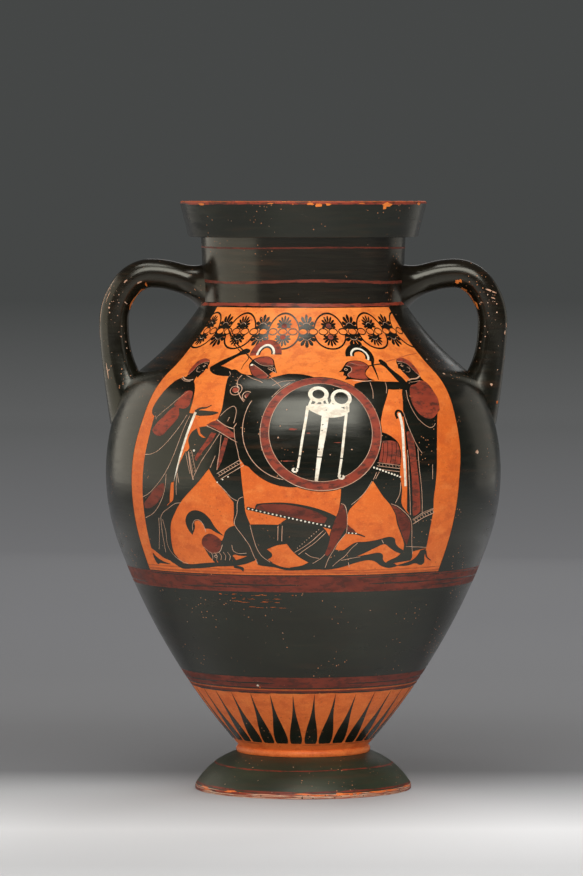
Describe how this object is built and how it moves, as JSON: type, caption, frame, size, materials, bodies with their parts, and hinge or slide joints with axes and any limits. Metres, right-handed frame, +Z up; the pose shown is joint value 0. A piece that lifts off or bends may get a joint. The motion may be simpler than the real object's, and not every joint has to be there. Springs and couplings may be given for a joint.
{
  "type": "belly amphora",
  "caption": "Round-bellied pottery storage jar with a wide flaring mouth, short neck, round loop handles and a spreading foot.",
  "frame": {"origin": "on the axis, on the plane the foot stands on", "axes": "+Z up along the axis, +X through the right handle, -Y towards the front picture panel"},
  "size_m": [0.2982, 0.2888, 0.43],
  "materials": {
    "clay": "burnished orange fired clay, low sheen",
    "black_gloss": "greenish-black slip, semi-gloss, brushed on",
    "added_red": "matte purple-red slip over the black",
    "added_white": "matte cream white slip over the black"
  },
  "bodies": {
    "root": {"lower_body": "clay", "shoulder": "clay", "neck": "black_gloss", "mouth": "black_gloss", "foot": "black_gloss", "foot_fillet": "added_red", "handle_right": "black_gloss", "handle_left": "black_gloss"}
  },
  "joints": []
}
